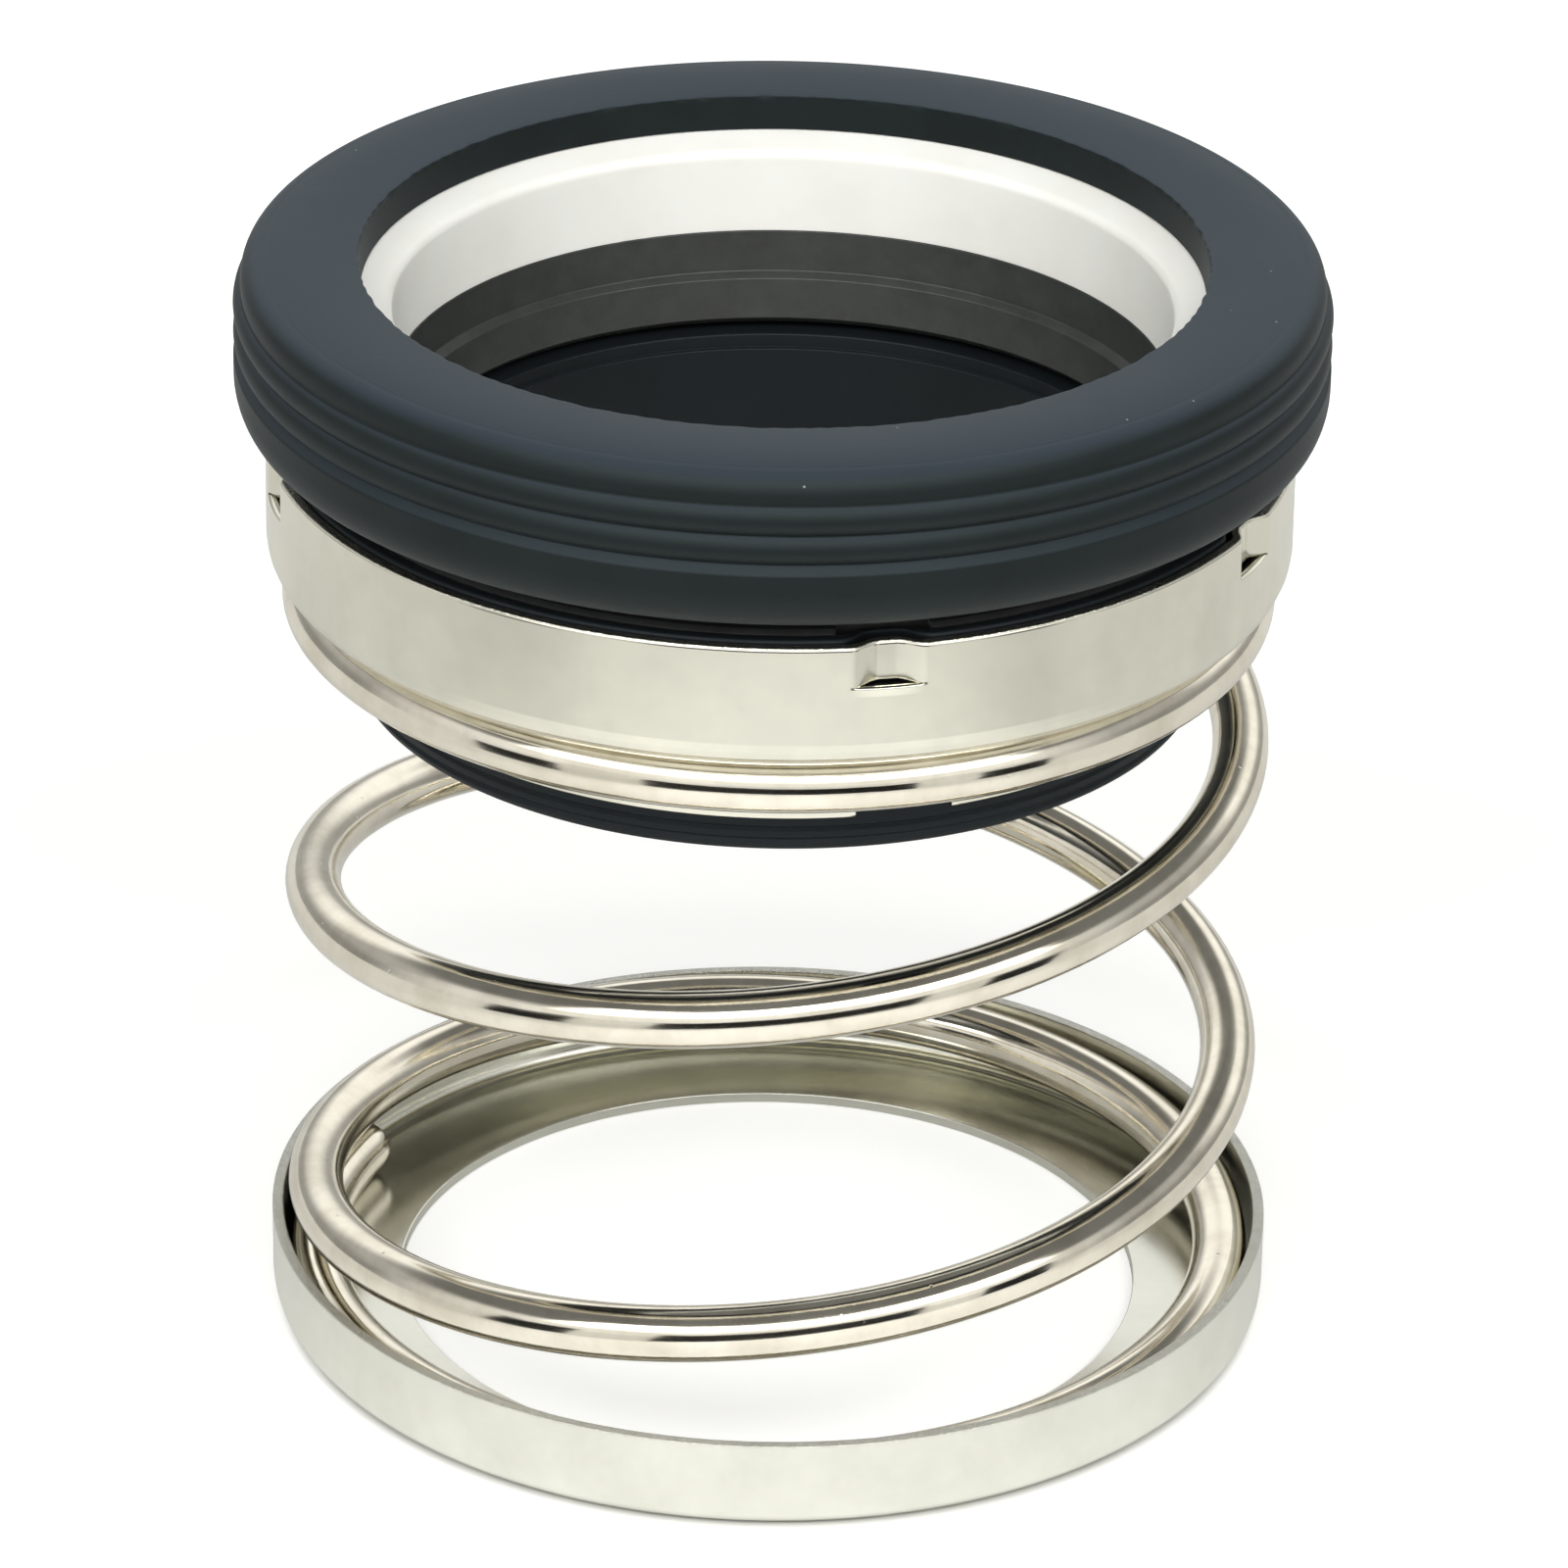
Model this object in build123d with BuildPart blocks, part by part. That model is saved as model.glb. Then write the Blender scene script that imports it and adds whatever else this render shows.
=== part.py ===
"""Single-spring mechanical shaft seal with a rubber bellows, standing on its spring holder.

Millimetres, +Z up along the shaft. The origin is the centre of the spring holder's
underside. From the floor up: spring holder, coil spring, sheet-metal retainer with the
drive band, bellows and carbon ring inside it, then the ceramic seat in its rubber cup.
"""

import os
from math import cos, radians, sin, sqrt

from build123d import *

os.makedirs("parts", exist_ok=True)

# ---------------------------------------------------------------- driving dimensions

shaft_radius = 25.0
sheet = 0.8                      # thickness of the stamped holder and retainer
seat_gap = 0.05                  # film between pieces that bear on each other
grip_gap = 0.05                  # radial film between pieces pressed together

# spring holder: shallow stamped cup
holder_height = 6.7
holder_corner = 2.0
holder_bore_clearance = 1.3      # over the shaft

# coil spring: closed end coils, open middle
wire_radius = 1.95
spring_wall_gap = 0.35           # between the wire and the holder's wall
spring_free_height = 56.65
spring_turns = 3.82
wire_start_angle = 155.0         # where the lower cut end lies
closing_pitch_ratio = 1.41       # pitch of the closing coil, in wire diameters
first_bend, first_spread = 0.35, 0.10    # turns at which the pitch changes, and over
lower_bend, lower_spread = 1.00, 0.15    # how much of a turn each side of it
upper_bend, upper_spread = 3.035, 0.185
arcs_per_turn = 12

# drive band: the sleeve that clamps the bellows' tail on the shaft
band_thickness = 0.7
band_spring_gap = 0.25           # between the band and the spring's inside
band_drop = 5.75                 # below the retainer's shoulder
band_rise = 3.65                 # above the shoulder's underside
drive_notch_count = 4
drive_notch_angle = 286.6
drive_notch_width = 6.7
drive_notch_height = 8.0
lug_side_gap = 0.35              # each side of a drive lug in its notch
lug_tip_gap = 0.25               # between a lug's tip and the bellows tail

# retainer shell: stamped cup round the head
shell_overhang = 1.05            # of its wall beyond the outside of the spring
shell_height = 9.2
shell_corner = 2.2
shoulder_bore_gap = 0.3          # round the drive band
dent_angles = (282.0, 335.0, 69.0, 193.0)
dent_width = 5.0
dent_depth = 1.7
dent_height = 2.7                # pressed strip under the rim
slit_height = 0.35               # lanced slit under each dent
dent_side_gap = 0.7              # each side of a dent in the rubber and the carbon
dent_tip_gap = 0.4

# bellows: tail, convolution and head in one moulding
tail_thickness = 4.45
tail_drop = 2.75                 # below the band's lower edge
tail_chamfer = 0.5
tail_groove_radius = 0.22
tail_groove_heights = (0.85, 1.70)       # above the tail's end
fold_wall = 1.1                  # rubber thickness of the convolution
fold_slot = 0.9                  # open slot between the fold's two legs
fold_band_gap = 0.3
head_shell_gap = 0.1
bore_lip_radius = 0.9
lip_thickness = 0.95
lip_rise = 3.6                   # of the head's lip above the carbon ring's rear
lip_round = 0.3

# carbon primary ring
ring_rear_rise = 5.05            # of its rear face above the retainer's shoulder
ring_body_height = 3.8
ring_nose_height = 3.14
ring_face_width = 4.4
ring_bore_clearance = 1.0        # over the shaft
ring_counterbore_clearance = 1.6
ring_counterbore_depth = 3.04
ring_step_height = 0.4
ring_rear_chamfer = 0.5
ring_edge_chamfer = 0.3

# ceramic seat ring
face_film = 0.02                 # between the two lapped faces
seat_bore_clearance = 1.65
seat_wall = 6.85
seat_height = 6.84
seat_chamfer_width = 2.15
seat_chamfer_height = 0.9
seat_edge_chamfer = 0.4

# rubber cup round the seat
cup_skirt = 1.66                 # below the seat's lapped face
cup_wall = 3.95                  # out to the ribs, which squeeze into the housing
cup_top_thickness = 2.75
cup_bore_clearance = 3.8
cup_bore_flare = 0.2
cup_edge_drop = 0.3              # of the domed top at its bore
cup_crown_inset = 4.5            # highest circle of the top, in from the ribs
cup_shoulder_drop = 0.25
cup_shoulder_inset = 2.1
rib_count = 2
rib_pitch = 2.05
rib_depth = 0.6
top_rib_inset = 0.65             # the rounded rib under the shoulder
top_rib_drop = 1.45
first_groove_drop = 2.375        # of the topmost groove below the crown
plain_band_height = 1.35         # below the ribs
cup_foot_inset = 2.1             # the rounded lower edge
cup_foot_chamfer = 0.3

# ---------------------------------------------------------------- radii and heights

tail_radius = shaft_radius + tail_thickness
band_radius = tail_radius + grip_gap + band_thickness
spring_radius = band_radius + band_spring_gap + wire_radius
spring_outside = spring_radius + wire_radius
holder_radius = spring_outside + spring_wall_gap + sheet
holder_bore_radius = shaft_radius + holder_bore_clearance
shell_radius = spring_outside + shell_overhang
shell_inside = shell_radius - sheet
shoulder_bore_radius = band_radius + shoulder_bore_gap
lug_tip_radius = tail_radius + lug_tip_gap
head_radius = shell_inside - head_shell_gap
lip_radius = head_radius - lip_thickness
ring_radius = lip_radius - head_shell_gap
dent_tip_radius = shell_radius - dent_depth - sheet
notch_floor_radius = dent_tip_radius - dent_tip_gap
ring_bore_radius = shaft_radius + ring_bore_clearance
ring_counterbore_radius = shaft_radius + ring_counterbore_clearance
ring_nose_radius = ring_counterbore_radius + ring_face_width
seat_bore_radius = shaft_radius + seat_bore_clearance
seat_outer_radius = seat_bore_radius + seat_wall
cup_inside = seat_outer_radius + grip_gap
cup_radius = cup_inside + cup_wall
cup_bore_radius = shaft_radius + cup_bore_clearance

spring_foot_z = sheet + seat_gap
spring_top_z = spring_foot_z + spring_free_height
shoulder_z = spring_top_z + seat_gap
shoulder_top_z = shoulder_z + sheet
rim_z = shoulder_z + shell_height
dent_z = rim_z - dent_height
slit_z = dent_z - slit_height
band_foot_z = shoulder_z - band_drop
band_top_z = shoulder_z + band_rise
tail_foot_z = band_foot_z - tail_drop
ring_rear_z = shoulder_top_z + ring_rear_rise
ring_shoulder_z = ring_rear_z + ring_body_height
ring_face_z = ring_shoulder_z + ring_nose_height
seat_face_z = ring_face_z + face_film
seat_back_z = seat_face_z + seat_height
cup_foot_z = seat_face_z - cup_skirt
crown_z = seat_back_z + seat_gap + cup_top_thickness

notch_width = dent_width + 2 * dent_side_gap


def dent_plane(angle, height):
    """Horizontal plane whose X axis points out through the dent at this angle."""
    return Plane.XY.offset(height).rotated((0, 0, angle))


# ---------------------------------------------------------------- spring holder

with BuildPart() as spring_holder:
    with BuildSketch():
        Circle(holder_radius)
    extrude(amount=holder_height)
    fillet(spring_holder.faces().sort_by(Axis.Z)[0].edges(), holder_corner)
    offset(amount=-sheet, openings=spring_holder.faces().sort_by(Axis.Z)[-1])
    with BuildSketch():
        Circle(holder_bore_radius)
    extrude(amount=sheet, mode=Mode.SUBTRACT)

spring_holder.part.label = "spring_holder"
export_step(spring_holder.part, "parts/spring_holder.step")

# ---------------------------------------------------------------- coil spring


def ramp_area(turn, middle, spread):
    """Area up to this turn under a slope of 1 that sets in evenly round the middle."""
    if turn <= middle - spread:
        return 0.0
    if turn >= middle + spread:
        return turn - middle
    return (turn - middle + spread) ** 2 / (4 * spread)


closing_pitch = closing_pitch_ratio * 2 * wire_radius
wire_rise = spring_free_height - 2 * wire_radius
open_pitch = (wire_rise - closing_pitch * (lower_bend - first_bend)) / (upper_bend - lower_bend)


def wire_point(turn):
    """Centre of the wire after this many turns, anticlockwise seen from above."""
    angle = radians(wire_start_angle + 360 * turn)
    climb = closing_pitch * ramp_area(turn, first_bend, first_spread)
    climb += (open_pitch - closing_pitch) * ramp_area(turn, lower_bend, lower_spread)
    climb -= open_pitch * ramp_area(turn, upper_bend, upper_spread)
    height = spring_foot_z + wire_radius + climb
    return (spring_radius * cos(angle), spring_radius * sin(angle), height)


arc_count = round(spring_turns * arcs_per_turn)
arc_turn = spring_turns / arc_count

with BuildPart() as coil_spring:
    with BuildLine() as wire_path:
        for i in range(arc_count):
            ThreePointArc(
                wire_point(i * arc_turn),
                wire_point((i + 0.5) * arc_turn),
                wire_point((i + 1) * arc_turn),
            )
    wire = wire_path.wire()
    with BuildSketch(Plane(origin=wire @ 0, z_dir=wire % 0)):
        Circle(wire_radius)
    sweep(path=wire)

coil_spring.part.label = "coil_spring"
export_step(coil_spring.part, "parts/coil_spring.step")

# ---------------------------------------------------------------- retainer shell

with BuildPart() as retainer_shell:
    with BuildSketch(Plane.XY.offset(shoulder_z)):
        Circle(shell_radius)
    extrude(amount=shell_height)
    fillet(retainer_shell.faces().sort_by(Axis.Z)[0].edges(), shell_corner)
    offset(amount=-sheet, openings=retainer_shell.faces().sort_by(Axis.Z)[-1])

    # the shoulder's bore leaves lugs that reach into the drive band's notches
    with BuildSketch(Plane.XY.offset(shoulder_z)):
        Circle(shoulder_bore_radius)
        lug_length = shoulder_bore_radius - lug_tip_radius + sheet
        lug_width = drive_notch_width - 2 * lug_side_gap
        with PolarLocations(lug_tip_radius + lug_length / 2, drive_notch_count, drive_notch_angle):
            Rectangle(lug_length, lug_width, mode=Mode.SUBTRACT)
    extrude(amount=sheet, mode=Mode.SUBTRACT)

    # lanced dents: a strip of the rim pressed inwards over a slit
    dent_end_outside = sqrt(shell_radius ** 2 - (dent_width / 2) ** 2)
    dent_end_inside = sqrt(shell_inside ** 2 - (dent_width / 2) ** 2)
    for angle in dent_angles:
        with BuildSketch(dent_plane(angle, slit_z)):
            with Locations((shell_radius, 0)):
                Rectangle(4 * sheet, dent_width)
        extrude(amount=slit_height + dent_height, mode=Mode.SUBTRACT)
        with BuildSketch(dent_plane(angle, dent_z)):
            with BuildLine():
                ThreePointArc(
                    (dent_end_outside, -dent_width / 2),
                    (shell_radius - dent_depth, 0),
                    (dent_end_outside, dent_width / 2),
                )
                Line((dent_end_outside, dent_width / 2), (dent_end_inside, dent_width / 2))
                ThreePointArc(
                    (dent_end_inside, dent_width / 2),
                    (dent_tip_radius, 0),
                    (dent_end_inside, -dent_width / 2),
                )
                Line((dent_end_inside, -dent_width / 2), (dent_end_outside, -dent_width / 2))
            make_face()
        extrude(amount=dent_height)

retainer_shell.part.label = "retainer_shell"
export_step(retainer_shell.part, "parts/retainer_shell.step")

# ---------------------------------------------------------------- drive band

with BuildPart() as drive_band:
    with BuildSketch(Plane.XY.offset(band_foot_z)):
        Circle(band_radius)
        Circle(band_radius - band_thickness, mode=Mode.SUBTRACT)
    extrude(amount=band_top_z - band_foot_z)
    with BuildSketch(Plane.XY.offset(band_foot_z)):
        with PolarLocations(band_radius, drive_notch_count, drive_notch_angle):
            Rectangle(4 * band_thickness, drive_notch_width)
    extrude(amount=drive_notch_height, mode=Mode.SUBTRACT)

drive_band.part.label = "drive_band"
export_step(drive_band.part, "parts/drive_band.step")

# ---------------------------------------------------------------- bellows

arch_z = band_top_z + 2 * seat_gap           # the arch springs just over the band's end
arch_inner = band_radius + fold_band_gap     # inside of the fold's inner leg
arch_radius = (arch_inner - tail_radius) / 2
arch_centre = (arch_inner + tail_radius) / 2
fold_outer = arch_inner + fold_wall          # slot side of the inner leg
slot_outer = fold_outer + fold_slot
fold_foot_z = shoulder_top_z + head_shell_gap
slot_foot_z = fold_foot_z + fold_wall + fold_slot / 2
head_corner = shell_corner - sheet
bore_top_z = arch_z + arch_radius + fold_wall
lip_top_z = ring_rear_z + lip_rise

with BuildPart() as bellows:
    with BuildSketch(Plane.XZ):
        with BuildLine():
            # tail, up the outside, over the band's end and down the inner leg
            Line((shaft_radius, tail_foot_z + tail_chamfer), (shaft_radius + tail_chamfer, tail_foot_z))
            Line((shaft_radius + tail_chamfer, tail_foot_z), (tail_radius - tail_chamfer, tail_foot_z))
            Line((tail_radius - tail_chamfer, tail_foot_z), (tail_radius, tail_foot_z + tail_chamfer))
            Line((tail_radius, tail_foot_z + tail_chamfer), (tail_radius, arch_z))
            ThreePointArc((tail_radius, arch_z), (arch_centre, arch_z + arch_radius), (arch_inner, arch_z))
            Line((arch_inner, arch_z), (arch_inner, fold_foot_z + fold_wall))
            TangentArc((arch_inner, fold_foot_z + fold_wall), (fold_outer, fold_foot_z), tangent=(0, -1))
            # under the fold, up the shell's wall to the lip
            Line((fold_outer, fold_foot_z), (head_radius - head_corner, fold_foot_z))
            TangentArc(
                (head_radius - head_corner, fold_foot_z),
                (head_radius, fold_foot_z + head_corner),
                tangent=(1, 0),
            )
            Line((head_radius, fold_foot_z + head_corner), (head_radius, lip_top_z - lip_round))
            Line((head_radius, lip_top_z - lip_round), (head_radius - lip_round, lip_top_z))
            Line((head_radius - lip_round, lip_top_z), (lip_radius + lip_round, lip_top_z))
            Line((lip_radius + lip_round, lip_top_z), (lip_radius, lip_top_z - lip_round))
            Line((lip_radius, lip_top_z - lip_round), (lip_radius, ring_rear_z - seat_gap))
            # seat for the carbon ring, then down the slot and back over the arch
            Line((lip_radius, ring_rear_z - seat_gap), (slot_outer, ring_rear_z - seat_gap))
            Line((slot_outer, ring_rear_z - seat_gap), (slot_outer, slot_foot_z))
            ThreePointArc(
                (slot_outer, slot_foot_z),
                ((slot_outer + fold_outer) / 2, slot_foot_z - fold_slot / 2),
                (fold_outer, slot_foot_z),
            )
            Line((fold_outer, slot_foot_z), (fold_outer, arch_z))
            TangentArc((fold_outer, arch_z), (arch_centre, bore_top_z), tangent=(0, 1))
            Line((arch_centre, bore_top_z), (shaft_radius + bore_lip_radius, bore_top_z))
            TangentArc(
                (shaft_radius + bore_lip_radius, bore_top_z),
                (shaft_radius, bore_top_z - bore_lip_radius),
                tangent=(-1, 0),
            )
            Line((shaft_radius, bore_top_z - bore_lip_radius), (shaft_radius, tail_foot_z + tail_chamfer))
        make_face()
    revolve(axis=Axis.Z)

    # fine grooves moulded round the end of the tail
    with BuildSketch(Plane.XZ):
        with Locations(*[(tail_radius, tail_foot_z + height) for height in tail_groove_heights]):
            Circle(tail_groove_radius)
    revolve(axis=Axis.Z, mode=Mode.SUBTRACT)

    # the lip is open at each dent
    for angle in dent_angles:
        with BuildSketch(dent_plane(angle, slit_z)):
            with Locations((head_radius, 0)):
                Rectangle(2 * (head_radius - notch_floor_radius), notch_width)
        extrude(amount=lip_top_z - slit_z, mode=Mode.SUBTRACT)

bellows.part.label = "bellows"
export_step(bellows.part, "parts/bellows.step")

# ---------------------------------------------------------------- carbon primary ring

with BuildPart() as primary_ring:
    with BuildSketch(Plane.XZ):
        with BuildLine():
            Polyline(
                (ring_bore_radius + ring_rear_chamfer, ring_rear_z),
                (ring_radius - ring_edge_chamfer, ring_rear_z),
                (ring_radius, ring_rear_z + ring_edge_chamfer),
                (ring_radius, ring_shoulder_z - ring_edge_chamfer),
                (ring_radius - ring_edge_chamfer, ring_shoulder_z),
                (ring_nose_radius, ring_shoulder_z),
                (ring_nose_radius, ring_face_z),
                (ring_counterbore_radius, ring_face_z),
                (ring_counterbore_radius, ring_face_z - ring_counterbore_depth),
                (ring_bore_radius, ring_face_z - ring_counterbore_depth - ring_step_height),
                (ring_bore_radius, ring_rear_z + ring_rear_chamfer),
                close=True,
            )
        make_face()
    revolve(axis=Axis.Z)
    for angle in dent_angles:
        with BuildSketch(dent_plane(angle, ring_rear_z)):
            with Locations((ring_radius, 0)):
                Rectangle(2 * (ring_radius - notch_floor_radius), notch_width)
        extrude(amount=ring_body_height, mode=Mode.SUBTRACT)

primary_ring.part.label = "primary_ring"
export_step(primary_ring.part, "parts/primary_ring.step")

# ---------------------------------------------------------------- ceramic seat ring

with BuildPart() as seat_ring:
    with BuildSketch(Plane.XZ):
        with BuildLine():
            Polyline(
                (seat_bore_radius, seat_face_z),
                (seat_outer_radius - seat_edge_chamfer, seat_face_z),
                (seat_outer_radius, seat_face_z + seat_edge_chamfer),
                (seat_outer_radius, seat_back_z - seat_edge_chamfer),
                (seat_outer_radius - seat_edge_chamfer, seat_back_z),
                (seat_bore_radius + seat_chamfer_width, seat_back_z),
                (seat_bore_radius, seat_back_z - seat_chamfer_height),
                close=True,
            )
        make_face()
    revolve(axis=Axis.Z)

seat_ring.part.label = "seat_ring"
export_step(seat_ring.part, "parts/seat_ring.step")

# ---------------------------------------------------------------- rubber seat cup

groove_radius = cup_radius - rib_depth
first_groove_z = crown_z - first_groove_drop
last_groove_z = first_groove_z - rib_count * rib_pitch
foot_radius = cup_radius - cup_foot_inset
plain_top_z = last_groove_z - rib_depth
foot_top_z = plain_top_z - plain_band_height
crown_radius = cup_radius - cup_crown_inset
shoulder_radius = cup_radius - cup_shoulder_inset
top_rib_radius = cup_radius - top_rib_inset

with BuildPart() as seat_cup:
    with BuildSketch(Plane.XZ):
        with BuildLine():
            # inside: skirt, pocket for the seat ring, bore
            Line((foot_radius, cup_foot_z), (cup_inside + cup_foot_chamfer, cup_foot_z))
            Line((cup_inside + cup_foot_chamfer, cup_foot_z), (cup_inside, cup_foot_z + cup_foot_chamfer))
            Line((cup_inside, cup_foot_z + cup_foot_chamfer), (cup_inside, seat_back_z + seat_gap))
            Line((cup_inside, seat_back_z + seat_gap), (cup_bore_radius, seat_back_z + seat_gap))
            Line((cup_bore_radius, seat_back_z + seat_gap), (cup_bore_radius + cup_bore_flare, crown_z - cup_edge_drop))
            # domed top and rounded shoulder
            TangentArc(
                (crown_radius, crown_z),
                (cup_bore_radius + cup_bore_flare, crown_z - cup_edge_drop),
                tangent=(-1, 0),
            )
            TangentArc(
                (crown_radius, crown_z),
                (shoulder_radius, crown_z - cup_shoulder_drop),
                tangent=(1, 0),
            )
            ThreePointArc(
                (shoulder_radius, crown_z - cup_shoulder_drop),
                (top_rib_radius, crown_z - top_rib_drop),
                (groove_radius, first_groove_z),
            )
            # squeeze ribs
            start = (groove_radius, first_groove_z)
            for rib in range(rib_count):
                crest = (cup_radius, first_groove_z - (rib + 0.5) * rib_pitch)
                end = (groove_radius, first_groove_z - (rib + 1) * rib_pitch)
                ThreePointArc(start, crest, end)
                start = end
            # plain band and rounded foot
            Line((groove_radius, last_groove_z), (cup_radius, plain_top_z))
            Line((cup_radius, plain_top_z), (cup_radius, foot_top_z))
            TangentArc((cup_radius, foot_top_z), (foot_radius, cup_foot_z), tangent=(0, -1))
        make_face()
    revolve(axis=Axis.Z)

seat_cup.part.label = "seat_cup"
export_step(seat_cup.part, "parts/seat_cup.step")
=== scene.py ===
import math

import bpy
import numpy as np
from mathutils import Matrix, Quaternion, Vector


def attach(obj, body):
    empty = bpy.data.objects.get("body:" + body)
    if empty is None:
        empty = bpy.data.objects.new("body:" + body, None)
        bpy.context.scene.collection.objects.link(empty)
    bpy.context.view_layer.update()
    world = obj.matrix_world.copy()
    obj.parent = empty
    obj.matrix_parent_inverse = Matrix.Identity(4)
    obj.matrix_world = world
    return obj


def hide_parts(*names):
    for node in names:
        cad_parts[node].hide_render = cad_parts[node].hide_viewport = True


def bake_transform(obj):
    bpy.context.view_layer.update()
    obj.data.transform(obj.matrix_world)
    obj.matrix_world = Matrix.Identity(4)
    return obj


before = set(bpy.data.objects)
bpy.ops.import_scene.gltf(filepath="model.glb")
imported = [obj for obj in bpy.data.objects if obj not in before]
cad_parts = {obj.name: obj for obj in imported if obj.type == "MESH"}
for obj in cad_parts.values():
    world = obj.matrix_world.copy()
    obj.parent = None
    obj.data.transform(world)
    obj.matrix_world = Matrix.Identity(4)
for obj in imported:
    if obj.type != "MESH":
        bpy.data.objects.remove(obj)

# A mechanical shaft seal: spring holder, coil spring, sheet-metal retainer with the drive
# band, rubber bellows and carbon ring, and a ceramic seat in a ribbed rubber cup.
# Sizes are in mm as on a workshop drawing, heights from the floor up, and become metres here.

mm = 0.001
fullTurn = 2 * math.pi
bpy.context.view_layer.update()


# small helpers

def linearColour(hexText, alpha=1.0):
    channels = [int(hexText[i:i + 2], 16) / 255 for i in (1, 3, 5)]
    linear = [c / 12.92 if c <= 0.04045 else ((c + 0.055) / 1.055) ** 2.4 for c in channels]
    return (*linear, alpha)


def addNode(tree, kind, settings=None, inputs=None, stops=None):
    # stops are the (place, hex colour) pairs of a colour ramp
    node = tree.nodes.new(kind)
    for name, value in (settings or {}).items():
        setattr(node, name, value)
    for name, value in (inputs or {}).items():
        if isinstance(value, bpy.types.NodeSocket):
            tree.links.new(value, node.inputs[name])
        else:
            node.inputs[name].default_value = value
    for i, (place, colour) in enumerate(stops or []):
        element = node.color_ramp.elements[i] if i < 2 else node.color_ramp.elements.new(place)
        element.position, element.color = place, linearColour(colour)
    return node


def newMaterial(name):
    material = bpy.data.materials.new(name)
    material.use_nodes = True
    tree = material.node_tree
    tree.nodes.clear()
    return material, tree


def roundedSection(corners, steps=5, margin=0.05):
    # corners are (radius, height, rounding) in mm, in order round the cross-section;
    # long straight runs get a close point at each end, so that flats shade flat
    points = []
    for i, (r, z, rounding) in enumerate(corners):
        here = Vector((r, z))
        if rounding <= 0:
            points.append(here)
            continue
        back = (Vector(corners[i - 1][:2]) - here).normalized()
        ahead = (Vector(corners[(i + 1) % len(corners)][:2]) - here).normalized()
        half = back.angle(ahead) / 2
        centre = here + (back + ahead).normalized() * (rounding / math.sin(half))
        first = here + back * (rounding / math.tan(half)) - centre
        last = here + ahead * (rounding / math.tan(half)) - centre
        start = math.atan2(first.y, first.x)
        sweep = (math.atan2(last.y, last.x) - start + math.pi) % fullTurn - math.pi
        for k in range(steps + 1):
            turn = start + sweep * k / steps
            points.append(centre + rounding * Vector((math.cos(turn), math.sin(turn))))
    section = []
    for here, ahead in zip(points, points[1:] + points[:1]):
        section.append(here)
        run = (ahead - here).length
        if run > 0.4:
            section.append(here.lerp(ahead, margin / run))
            section.append(here.lerp(ahead, 1 - margin / run))
    return np.array([(p.x, p.y) for p in section])


def arcPoints(start, middle, end, count):
    # points of the circle through three points, without the last one
    (ax, ay), (bx, by), (cx, cy) = start, middle, end
    d = 2 * (ax * (by - cy) + bx * (cy - ay) + cx * (ay - by))
    ux = ((ax * ax + ay * ay) * (by - cy) + (bx * bx + by * by) * (cy - ay) + (cx * cx + cy * cy) * (ay - by)) / d
    uy = ((ax * ax + ay * ay) * (cx - bx) + (bx * bx + by * by) * (ax - cx) + (cx * cx + cy * cy) * (bx - ax)) / d
    radius = math.hypot(ax - ux, ay - uy)
    first, mid, last = (math.atan2(y - uy, x - ux) for x, y in (start, middle, end))
    sweep = (last - first) % fullTurn
    if (mid - first) % fullTurn > sweep:
        sweep -= fullTurn
    turns = [first + sweep * k / count for k in range(count)]
    return [(ux + radius * math.cos(t), uy + radius * math.sin(t), 0) for t in turns]


def makePiece(name, points, faces, body, node, material):
    mesh = bpy.data.meshes.new(name)
    mesh.from_pydata([tuple(p) for p in points], [], faces)
    mesh.validate()
    mesh.shade_smooth()
    piece = bpy.data.objects.new(name, mesh)
    bpy.context.scene.collection.objects.link(piece)
    mesh.materials.append(material)
    if body:
        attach(piece, body)
    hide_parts(node)
    print("made", name, len(faces), "faces")
    return piece


def lathe(section, turns=None, shape=None):
    # revolves a closed cross-section; shape(r, z, turn) may move its points
    turns = np.linspace(0, fullTurn, 360, endpoint=False) if turns is None else np.array(turns)
    r = np.repeat(section[None, :, 0], len(turns), axis=0)
    z = np.repeat(section[None, :, 1], len(turns), axis=0)
    turn = np.repeat(turns[:, None], len(section), axis=1)
    if shape is not None:
        r, z = shape(r, z, turn)
    points = np.stack([r * np.cos(turn), r * np.sin(turn), z], axis=2).reshape(-1, 3) * mm
    rows, columns = len(section), len(turns)
    faces = []
    for c in range(columns):
        here, ahead = c * rows, (c + 1) % columns * rows
        for k in range(rows):
            up = (k + 1) % rows
            faces.append((here + k, ahead + k, ahead + up, here + up))
    return points, faces


def wave(turn, z, seed, size):
    # gentle unevenness of pressed sheet: a few slow waves round the part
    total = np.zeros_like(turn)
    for k, (turnsRound, share) in enumerate(((2, 0.45), (3, 0.3), (5, 0.15), (9, 0.1))):
        total += share * np.sin(turnsRound * turn + seed * (k + 1.7) + 0.05 * z * (k + 1))
    return size * total


def stepUp(value, low, high):
    t = np.clip((value - low) / (high - low), 0, 1)
    return t * t * (3 - 2 * t)


def angleFrom(turn, centre):
    return (turn - centre + math.pi) % fullTurn - math.pi


def turnsWithCuts(centres, halfWidth, columns=360):
    # even columns round the part, with a close pair at each side of every cut
    turns = list(np.linspace(0, fullTurn, columns, endpoint=False))
    for centre in centres:
        turns = [a for a in turns if abs(abs(angleFrom(a, centre)) - halfWidth) > 0.006]
        turns += [(centre + side * (halfWidth + d)) % fullTurn for side in (-1, 1) for d in (-0.0004, 0.0004)]
    return np.array(sorted(turns))


# shared heights and radii, as on the drawing

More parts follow.
